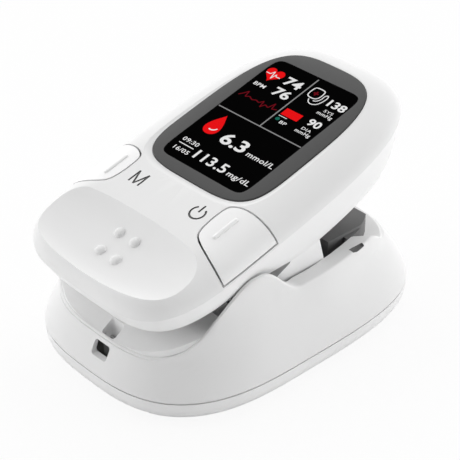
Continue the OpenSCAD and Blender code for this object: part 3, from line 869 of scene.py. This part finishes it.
# %% Picture helpers
INK_LOW, INK_HIGH, INK_STEP = LENS_TOP - 0.02, LENS_TOP + 0.012, 0.008
CAP_HEIGHT = 0.73
ink = {}


def on_screen(right, down):
    """Screen millimetres from the top left corner to head coordinates."""
    return SCREEN_X[1] - down, SCREEN_W / 2 - right


def add_ink(tone, obj):
    ink.setdefault(tone.name, []).append(obj)


def shape(tone, outline, lift=0.0):
    """A closed outline in screen millimetres, as a thin plate."""
    add_ink(tone, prism("shape", [on_screen(*p) for p in outline], INK_LOW, INK_HIGH + lift))


def line(tone, points, width, lift=0.0):
    for a, b in zip(points, points[1:]):
        shape(tone, stroke(a, b, width), lift)


def write(tone, words, left, right, base, height, bold=0.0, track=1.0):
    """Plain figures and units that stand on the base line and reach from left to right."""
    calm()
    bpy.ops.object.text_add()
    text = bpy.context.object
    text.data.body = words
    text.data.size = 1
    text.data.offset = bold
    text.data.resolution_u = 4
    text.data.space_character = track
    text.data.extrude = 0.5
    bpy.ops.object.convert(target="MESH")
    obj = bpy.context.object
    low = min(v.co.x for v in obj.data.vertices)
    high = max(v.co.x for v in obj.data.vertices)
    for v in obj.data.vertices:
        across = mix(left, right, (v.co.x - low) / (high - low))
        x, y = on_screen(across, base - v.co.y * height / (CAP_HEIGHT + 2 * bold))
        v.co = (x, y, INK_LOW if v.co.z < 0 else INK_HIGH)
    obj.data.update()
    add_ink(tone, obj)


print("picture helpers ready")

# %% [markdown]
# Two lines divide the screen into its fields. The readings are kept as a table with one row
# for each piece of text, because a row is easier to move than an object.

# %% Readings
MID_X, MID_Y = 9.8, 14.2
line(LIT_GREY, [(0.2, MID_Y), (SCREEN_W - 0.1, MID_Y)], 0.2)
line(LIT_GREY, [(MID_X, 0.5), (MID_X, MID_Y)], 0.24)
# Words, left and right edge, base line, height of a capital, extra weight, spacing
READINGS = [
    ("74", 5.1, 8.7, 4.4, 2.1, 0.025),
    ("76", 5.3, 8.8, 7.3, 2.1, 0.025),
    ("BPM", 1.0, 3.5, 7.15, 0.85, 0.012, 1.08),
    ("138", 15.25, 18.9, 4.55, 1.7, 0.025),
    ("SYS", 16.0, 17.9, 5.95, 0.6, 0.005, 1.1),
    ("mmHg", 15.3, 18.5, 6.85, 0.75, 0.008, 1.1),
    ("90", 15.7, 18.3, 9.65, 1.65, 0.025),
    ("DIA", 15.9, 17.9, 10.95, 0.6, 0.005, 1.1),
    ("mmHg", 15.3, 18.5, 11.9, 0.75, 0.008, 1.1),
    ("6.3", 6.6, 12.1, 20.5, 2.7, 0.025),
    ("mmol/L", 12.95, 18.8, 20.45, 1.1, 0.01, 1.08),
    ("113.5", 5.9, 13.0, 25.5, 2.1, 0.02, 1.05),
    ("mg/dL", 13.65, 18.5, 25.4, 1.1, 0.01, 1.08),
    ("09:30", 1.3, 4.9, 23.5, 0.9, 0.01, 1.08),
    ("16/05", 1.5, 4.9, 25.75, 0.9, 0.01, 1.08),
]
for row in READINGS:
    write(LIT_WHITE, *row)
line(LIT_WHITE, [(1.4, 24.15), (4.8, 24.15)], 0.16)
print("readings written")

# %% [markdown]
# The icons are closed outlines: a formula for the heart and the drop, and a few knots with
# rounded corners for the cuff and its tube. What is drawn over another tone is lifted a
# little, so that the two don't flicker.


# %% Icons
def curve_points(rule, count):
    return [rule(2 * math.pi * i / count) for i in range(count)]


def heart(a):
    x = 16 * math.sin(a) ** 3
    y = 13 * math.cos(a) - 5 * math.cos(2 * a) - 2 * math.cos(3 * a) - math.cos(4 * a)
    return 2.4 + x * 0.118, 3.55 - y * 0.112


def drop(a):
    return 3.5 + 2.18 * math.sin(a) * math.sin(a / 2) ** 1.4, 17.8 - 2.47 * math.cos(a)


shape(LIT_RED, curve_points(heart, 64))
pulse = [(0.75, 3.7), (1.7, 3.7), (2.1, 2.9), (2.55, 4.6), (2.85, 3.35), (3.05, 3.8), (4.0, 3.8)]
line(LIT_WHITE, pulse, 0.17, INK_STEP)
trace = [(0.9, 10.4), (1.5, 9.7), (2.0, 8.9), (2.3, 10.2), (3.0, 9.8), (3.9, 10.2), (4.6, 9.9), (5.4, 10.1),
         (6.0, 9.4), (6.3, 10.8), (6.8, 9.9), (7.6, 10.2), (8.1, 8.8), (8.4, 10.1), (9.3, 9.8)]
line(LIT_WINE, trace, 0.2)
shape(LIT_RED, [(10.5, 8.5), (14.1, 8.5), (14.1, 10.15), (10.5, 10.15)])
line(LIT_WHITE, [(10.5, 10.5), (12.3, 10.5)], 0.12)
shape(LIT_TEAL, curve_points(lambda a: (10.95 + 0.42 * math.cos(a), 11.25 + 0.36 * math.sin(a)), 24))
write(LIT_WHITE, "BP", 11.8, 13.2, 11.9, 0.7, 0.01, 1.08)
shape(LIT_RED, curve_points(drop, 64))
shape(LIT_WHITE, arc_band((3.5, 18.2), 1.05, 20, 110, 0.24, 16), INK_STEP)
cuff = rounded([(10.75, 2.4), (11.1, 2.05), (12.7, 2.05), (13.1, 2.4), (13.15, 3.9), (12.6, 4.5),
                (11.2, 4.5), (10.7, 4.0)], 2)
line(LIT_WHITE, cuff + cuff[:1], 0.2)
line(LIT_WINE, [(11.4, 3.3), (12.4, 3.3)], 0.3)
line(LIT_WINE, [(11.9, 2.8), (11.9, 3.8)], 0.3)
tube = [(11.6, 4.6), (12.1, 5.5), (13.0, 5.75), (13.9, 5.3), (14.3, 4.3), (14.4, 3.1), (14.0, 2.6),
        (13.6, 3.1), (13.7, 4.0), (13.2, 4.8), (12.5, 4.9)]
line(LIT_WHITE, rounded(tube, 1)[:-2], 0.18)

for tone, parts in sorted(ink.items()):
    choose(parts[0])
    for part in parts[1:]:
        part.select_set(True)
    bpy.ops.object.join()
    picture = bpy.context.object
    picture.name = "picture_" + tone
    settle(picture, HEAD_PLACE, "head", bpy.data.materials[tone])

# %% [markdown]
# ## Lower cover of the head
# Below its parting line the head is a tub with a deep skirt beside the finger. Two arms run
# down from the skirt to the hinge pins. The skirt is one wall that rolls under at its lip. The
# floor and the arms are outlines in side view, given a width, and the floor is cut to the
# inside of the skirt, so that it meets the wall all round.

# %% Lower cover
GROOVE_IN, GROOVE_H = 0.55, 0.3
ARM_T, ARM_R, ARM_END, ARM_IN, ARM_RISE = 1.5, 3.1, -3.2, 2.75, 0.7
ARM_Y = HEAD_HALF - ARM_IN - ARM_T
PIN_R, PIN_RUN, LEAD_R, LEAD_X, FLOOR_T = 1.2, 0.05, 0.5, (5.2, 6.8), 1.3
CEILING_Z, JAW_FROM = -9.6, -6.0
HINGE_AT = (HINGE_X - LENS_AT, HINGE_Z - CLOSED_H)
SKIRT_IN, SKIRT_LEAN, LEAN_DEPTH, SKIRT_ROLL, LIP_R = 0.3, 1.55, 8.2, 0.7, 0.5
FINGER_CUT, THUMB_RUN, FINGER_RUN = 2.4, (-24, -4), (HEAD_FAR - 11.4, HEAD_FAR - 0.4)


def skirt_depth(x):
    """How far the skirt hangs down: shallow at the thumb, deep beside the jaw, less at the finger."""
    return mix(THUMB_DEPTH, LOWER_DEPTH, run(x, THUMB_RUN)) - FINGER_CUT * run(x, FINGER_RUN)


def skirt_ring(share, inset=0.0, lift=0.0, low=None):
    """A loop at a share of the skirt's depth, where the skirt leans in and rolls under."""
    ring = []
    for a in turn(RING):
        depth = skirt_depth(egg(HEAD_PLAN, a)[0]) * share
        pull = SKIRT_IN + SKIRT_LEAN * depth / LEAN_DEPTH + SKIRT_ROLL * share ** 5 + inset
        x, y = egg(HEAD_PLAN, a, pull)
        ring.append((x, y, PART_Z - SEAT - depth + lift if low is None else low))
    return ring


def side_plate(name, outline, low_y, high_y):
    """An outline in x and z, given a width along y."""
    return loft(name, [[(x, low_y, z) for x, z in outline], [(x, high_y, z) for x, z in outline]])


outer = [skirt_ring(0, GROOVE_IN), skirt_ring(0, GROOVE_IN, -GROOVE_H), skirt_ring(0, 0, -GROOVE_H)]
outer += [skirt_ring(s) for s in (0.12, 0.25, 0.4, 0.55, 0.7, 0.8, 0.88, 0.94)]
lip = [skirt_ring(1, *turned) for turned in rounding(LIP_R, 20, 45, 70, 90)]
inner = [skirt_ring(1, HEAD_WALL), skirt_ring(0.5, HEAD_WALL), skirt_ring(0, HEAD_WALL)]
lower_cover = loft("lower_cover_shell", outer + lip + inner, wrap=True)

xs = [mix(HEAD_NEAR + 0.4, -10, i / 24) for i in range(25)]
below = [(x, PART_Z - SEAT - skirt_depth(x)) for x in xs]
thumb_floor = below[-1][1]
profile = below + [(JAW_FROM, thumb_floor), (JAW_FROM, CEILING_Z), (40, CEILING_Z),
                   (40, CEILING_Z + FLOOR_T), (JAW_FROM - FLOOR_T, CEILING_Z + FLOOR_T),
                   (JAW_FROM - FLOOR_T, thumb_floor + FLOOR_T)]
profile += [(x, z + FLOOR_T) for x, z in reversed(below)]
floor_plate = side_plate("floor_plate", profile, -30, 30)
inside = loft("inside", [skirt_ring(1, 1, low=-22), *(skirt_ring(s, 0.7) for s in (0.9, 0.45, 0))])
combine(floor_plate, inside, "INTERSECT")
combine(lower_cover, floor_plate, "UNION")

arm_outline = [(HINGE_AT[0] + ARM_R * math.cos(a), HINGE_AT[1] + ARM_R * math.sin(a))
               for a in (math.radians(mix(70, 270, i / 24)) for i in range(25))]
arm_outline += [(ARM_END, HINGE_AT[1] - 2.1), (ARM_END, CEILING_Z + ARM_RISE), (-8.5, CEILING_Z + ARM_RISE),
                (-9.8, PART_Z - LOWER_DEPTH + 0.1), (-13.4, HINGE_AT[1] + 1.75)]
for side in (-1, 1):
    y = sorted((side * ARM_Y, side * (ARM_Y + ARM_T)))
    combine(lower_cover, side_plate("arm", arm_outline, *y), "UNION")
    ends = [(HINGE_AT[0], end, HINGE_AT[1]) for end in (y[0] - 1, y[1] + 1)]
    combine(lower_cover, rod("bore", *ends, PIN_R + PIN_RUN))
for x, y in SCREW_POSTS:
    foot = (PART_Z - SEAT - skirt_depth(x) if x < 0 else CEILING_Z) + 0.3
    combine(lower_cover, rod("post", (x, y, foot), (x, y, PART_Z - 0.7), POST_R), "UNION")
    combine(lower_cover, rod("clearance", (x, y, -20), (x, y, 0), CLEARANCE_R))
    combine(lower_cover, rod("sink", (x, y, -20), (x, y, foot + 0.6), SINK_R))
for x in LEAD_X:
    combine(lower_cover, rod("lead_hole", (x, 0, CEILING_Z - 2), (x, 0, CEILING_Z + 3), LEAD_R, 24))
settle(lower_cover, HEAD_PLACE, "head", WHITE, replaces=["head_lower_cover"])

# %% [markdown]
# ## Base case
# The base wall leans in as it rises. Its rim runs low round the thumb, climbs into a hump over
# each hinge pin, and drops to a flat ledge beside the finger. Such a wall could be cut from a
# solid, but a loop that follows the rim keeps the rolled edge equally wide everywhere.

# %% Base wall
THUMB_X, FINGER_X = -BASE_LEN / 2, BASE_LEN / 2
RIM_RISE = (THUMB_X + 0.8, HINGE_X - 3.3)
RIM_DROP = (HINGE_X - 2, HINGE_X + 7.7)
MOUTH_RUN = (FINGER_X - 10, FINGER_X - 2.5)
RIM_W, RIM_SPREAD, EDGE = 0.5, 9, 0.4
# How far the wall leans in, and the power by which it does so, at the thumb and at the mouth
THUMB_LEAN, MOUTH_LEAN, SIDE_POWER = (2.6, 1.2), (4, 1.6), 1.4
END_REACH = (0.3125, 0.9375)
WALL_SHARES = (0, 0.06, 0.14, 0.24, 0.36, 0.48, 0.6, 0.72, 0.84, 0.93)


def rim_z(x):
    """Height of the rim: low at the thumb, a hump over the hinge, a ledge, and the mouth."""
    if x < RIM_DROP[0]:
        return mix(THUMB_RIM_Z, LEDGE_Z + HUMP_RISE, run(x, RIM_RISE))
    if x < MOUTH_RUN[0]:
        return mix(LEDGE_Z + HUMP_RISE, LEDGE_Z, run(x, RIM_DROP))
    return mix(LEDGE_Z, MOUTH_Z, run(x, MOUTH_RUN))


def rim_w(x):
    """Width of the rim: an edge at the thumb, a flat ledge beside the finger."""
    return mix(RIM_W, LEDGE_W, smooth((x - HINGE_X) / RIM_SPREAD))


def climb(z, top, power):
    """How far up the wall a height is, from 0 at the parting line to 1 at the top."""
    return min(max(0.0, (z - BASE_PART_Z) / (top - BASE_PART_Z)), 1.0) ** power


def base_point(angle, share, inset=0.0, drop=0.0):
    """A point of the wall; the ends lean in more than the sides."""
    z = mix(BASE_PART_Z, rim_z(egg(BASE_PLAN, angle)[0]), share)
    side = WALL_LEAN * climb(z, LEDGE_Z, SIDE_POWER)
    (lean, power), top = (THUMB_LEAN, THUMB_RIM_Z) if math.cos(angle) < 0 else (MOUTH_LEAN, MOUTH_Z)
    pull = mix(side, max(side, lean * climb(z, top, power)), run(abs(math.cos(angle)), END_REACH))
    return (*egg(BASE_PLAN, angle, pull + inset), z - drop)


def base_ring(share, inset=0.0, drop=0.0):
    return [base_point(a, share, inset, drop) for a in turn(RING)]


wall = [base_ring(s) for s in WALL_SHARES]
wall += [base_ring(1, *turned) for turned in rounding(EDGE, 10, 30, 50, 70, 90)]
wall.append([base_point(a, 1, rim_w(egg(BASE_PLAN, a)[0])) for a in turn(RING)])
wall += [base_ring(0.5, BASE_WALL - 0.6), base_ring(0, BASE_WALL)]
base_case = loft("base_case_shell", wall, wrap=True)
print("base wall:", len(base_case.data.polygons), "faces")

# %% [markdown]
# Inside the base a sloping deck closes the thumb end over the cells, two bosses hold the hinge
# pins, and four ribbed posts take the screws. The deck is an outline in side view, cut to the
# inside of the wall as the floor of the head is.

# %% Deck, bosses and posts
DECK_FLAT, DECK_T, DECK_LOW, DECK_RUN, DECK_STEPS = 14.2, 1.2, THUMB_RIM_Z - 0.9, 11, 16
DECK = (THUMB_X + 1.6, HINGE_X - 2.6)
CASE_IN = 0.43
deck_xs = [mix(*DECK, i / DECK_STEPS) for i in range(DECK_STEPS + 1)]
deck_top = [(x, mix(DECK_LOW, DECK_FLAT, smooth((x - DECK[0] + 1.5) / DECK_RUN))) for x in deck_xs]
deck = side_plate("deck", deck_top + [(x, z - DECK_T) for x, z in reversed(deck_top)], -30, 30)
case_inside = loft("case_inside", [base_ring(0, 0.8), base_ring(0.5, 0.7), base_ring(0.97, CASE_IN),
                                   [(x, y, CLOSED_H) for x, y, _ in base_ring(1, CASE_IN)]])
combine(deck, case_inside, "INTERSECT")
for side in (-1, 1):
    y = sorted((side * (ARM_Y - 1.5), side * (ARM_Y + 4.5)))
    combine(deck, block("arm_slot", (HINGE_X - 6, y[0], 0), (HINGE_X, y[1], CLOSED_H)))
combine(base_case, deck, "UNION")

BOSS_IN, BOSS_OUT = ARM_Y + ARM_T + GAP, BASE_W / 2 - WALL_LEAN - 0.2
PIN_LEN, PIN_FIT, BOSS_R = 6.4, 0.02, 2.4
CELL_D = 10.5
TRAY_HALF = CELL_D + 1.7
CASE_POST_R, CASE_POST_TOP, RIB_HALF, RIB_STOP = 2, 11, 0.6, BASE_W / 2 - 3.9
CASE_SCREWS = [(x, side * (TRAY_HALF + 2.4)) for x in (THUMB_X + 11.5, FINGER_X - 14.5) for side in (-1, 1)]
for side in (-1, 1):
    ends = [(HINGE_X, side * y, HINGE_Z) for y in (BOSS_IN, BOSS_OUT)]
    combine(base_case, rod("boss", *ends, BOSS_R), "UNION")
for x, y in CASE_SCREWS:
    foot = BASE_PART_Z + GAP
    combine(base_case, rod("post", (x, y, foot), (x, y, CASE_POST_TOP), CASE_POST_R), "UNION")
    reach = sorted((y, math.copysign(RIB_STOP, y)))
    rib = block("rib", (x - RIB_HALF, reach[0], foot), (x + RIB_HALF, reach[1], CASE_POST_TOP))
    combine(base_case, rib, "UNION")
    combine(base_case, rod("pilot", (x, y, 0), (x, y, CASE_POST_TOP - 2), PILOT_R, 32))
for side in (-1, 1):
    start, end = side * (ARM_Y - 5), side * (ARM_Y - 5 + PIN_LEN + 1.8 + SEAT)
    combine(base_case, rod("pin_bore", (HINGE_X, start, HINGE_Z), (HINGE_X, end, HINGE_Z), PIN_R + PIN_FIT))
print("base inside done")

# %% [markdown]
# A wrist cord threads through two small round-cornered holes at the thumb end, one in the end
# wall and one in the sloping deck, with a small block behind them. A small slot is sunk in the
# right-hand ledge, and its faces take the grey of the tool that cuts it, as painted shade in the slot.

# %% Lanyard holes and ledge slot
LANYARD_Y, HOLE_ROUND = -2.1, 0.5
# Reach in x, half width, reach in z
POCKET = (THUMB_X + 4, THUMB_X + 6.2), 2.4, (BASE_PART_Z + 0.6, THUMB_RIM_Z + 0.4)
WALL_HOLE = (THUMB_X - 2, THUMB_X + 4), 1.75, (THUMB_RIM_Z - 3.2, THUMB_RIM_Z - 0.9)
DECK_HOLE = (THUMB_X + 3, THUMB_X + 5.4), 1.5, (THUMB_RIM_Z - 2.7, THUMB_RIM_Z + 3.3)
SLOT_LOW = (10.8, 4.1 - BASE_W / 2, LEDGE_Z - 0.4)
SLOT_HIGH = (13.8, 5.1 - BASE_W / 2, LEDGE_Z + 1.8)
SLOT_ROUND = 0.1


def corners(x, half, z):
    """Low and high corner of a box about the cord."""
    return (x[0], LANYARD_Y - half, z[0]), (x[1], LANYARD_Y + half, z[1])


def rounded_box(name, low, high, radius):
    """A box whose upright edges are bevelled round."""
    obj = block(name, low, high)
    choose(obj)
    bevel = obj.modifiers.new("round", "BEVEL")
    bevel.width = radius
    bevel.segments = 5
    bevel.limit_method = "ANGLE"
    bpy.ops.object.modifier_apply(modifier=bevel.name)
    return obj


combine(base_case, block("cord_pocket", *corners(*POCKET)), "UNION")
for name, hole in (("wall_hole", WALL_HOLE), ("deck_hole", DECK_HOLE)):
    combine(base_case, rounded_box(name, *corners(*hole), HOLE_ROUND))
slot_shade_tool = rounded_box("ledge_slot", SLOT_LOW, SLOT_HIGH, SLOT_ROUND)
# painted shade: the slot's faces get the pads' grey, which stands for the shade inside the shallow slot
slot_shade_tool.data.materials.append(SILICONE_AND_SLOT_SHADE)
base_case.data.materials.append(WHITE)
combine(base_case, slot_shade_tool)
settle(base_case, BASE_PLACE, "base", replaces=["base_case"])

# %% [markdown]
# ## Bottom cover
# The bottom cover is a shallow dish with a rolled edge. The battery door slides into its flat
# underside, and four counterbores take the screws. The same loops, drawn in by a wall, make
# the tool that hollows it.

# %% Bottom cover
DOOR_T, DOOR_W, DOOR_X = 1.2, 2 * CELL_D + 3, (THUMB_X - 3, FINGER_X - 4)
CELL_X = (-22.25, 22.25)
ROLL_R, ROLL_FLAT, ROLL_STEPS, BOTTOM_IN = 3, 0.93, 9, 0.05
BOTTOM_WALL, BOTTOM_FLOOR, BOTTOM_POST_R, SINK_TOP = 1.5, 2.2, 2.3, 1.4
rolled = [(ROLL_R - ROLL_R * math.sin(a), ROLL_R * (1 - math.cos(a)) * ROLL_FLAT)
          for a in (math.radians(90 * i / ROLL_STEPS) for i in range(ROLL_STEPS + 1))]
rolled = [(inset + BOTTOM_IN, z) for inset, z in rolled]
groove = [(BOTTOM_IN, BASE_PART_Z - GROOVE_H), (GROOVE_IN, BASE_PART_Z - GROOVE_H),
          (GROOVE_IN, BASE_PART_Z - SEAT)]
bottom = loft("bottom_cover_shell", [flat_ring(BASE_PLAN, inset, z, RING) for inset, z in rolled + groove])
hollow = loft("hollow", [flat_ring(BASE_PLAN, inset + BOTTOM_WALL, z + BOTTOM_FLOOR, RING)
                         for inset, z in rolled])
for x, y in CASE_SCREWS:
    combine(hollow, rod("post", (x, y, 0), (x, y, BASE_PART_Z - SEAT), BOTTOM_POST_R))
combine(bottom, hollow)
door_half, cells_half = DOOR_W / 2 + GAP, CELL_D + 0.5
combine(bottom, block("door_way", (DOOR_X[0], -door_half, -1),
                      (DOOR_X[1] + GAP, door_half, DOOR_T + GAP / 2)))
combine(bottom, block("cell_way", (CELL_X[0] - 3.5, -cells_half, -1), (CELL_X[1] + 1.5, cells_half, 9)))
for x, y in CASE_SCREWS:
    combine(bottom, rod("clearance", (x, y, -1), (x, y, 9), CLEARANCE_R, 32))
    combine(bottom, rod("sink", (x, y, -1), (x, y, SINK_TOP), SINK_R))
settle(bottom, BASE_PLACE, "base", WHITE, replaces=["bottom_cover"])

# %% [markdown]
# ## Soft pads and door
# The finger pads and the battery door have the right form in the frame, but sharp edges. Each
# is copied, its loose corners are merged, flat areas become single faces, and a bevel rounds
# the edges.

# %% Rounded copies
PAD_ROUND, DOOR_ROUND, SHARP_ANGLE = 0.0005, 0.0003, 40


def softened(node, name, body, material, width):
    """A copy of a frame piece, with its sharp edges rounded."""
    calm()
    obj = bpy.data.objects.new(name, frame["nodes"][node].data.copy())
    scene.collection.objects.link(obj)
    choose(obj)
    bpy.ops.object.mode_set(mode="EDIT")
    bpy.ops.mesh.select_all(action="SELECT")
    bpy.ops.mesh.remove_doubles(threshold=FINE)
    bpy.ops.mesh.dissolve_limited(angle_limit=math.radians(1))
    calm()
    choose(obj)
    bevel = obj.modifiers.new("soft", "BEVEL")
    bevel.width = width
    bevel.segments = 4
    bevel.limit_method = "ANGLE"
    bevel.angle_limit = math.radians(SHARP_ANGLE)
    bpy.ops.object.modifier_apply(modifier=bevel.name)
    return settle(obj, Matrix.Identity(4), body, material, replaces=[node])


softened("upper_finger_pad", "upper_pad_piece", "head", SILICONE_AND_SLOT_SHADE, PAD_ROUND)
softened("lower_finger_pad", "lower_pad_piece", "base", SILICONE_AND_SLOT_SHADE, PAD_ROUND)
softened("battery_door", "battery_door_piece", "battery_door", WHITE, DOOR_ROUND)

# %% [markdown]
# ## Pieces kept from the frame
# The small inner pieces already have their true shape, so they only get a finish.

# %% Finishes of the kept pieces
KEPT = {
    "display_panel": BLACK, "display_holder": INNER, "main_circuit_board": BOARD, "board_chips": BLACK,
    "button_switches": STEEL, "beeper": BLACK, "light_emitter": EPOXY,
    "head_screws": STEEL, "battery_tray": INNER, "light_sensor": DARK_EPOXY,
    "sensor_board": BOARD, "battery_cells": WRAP, "spring_contacts": STEEL, "plate_contacts": STEEL,
    "hinge_pins": STEEL, "torsion_springs": STEEL, "base_screws": STEEL,
}
for name, material in KEPT.items():
    data = frame["nodes"][name].data
    data.materials.clear()
    data.materials.append(material)
print("kept pieces:", len(KEPT))
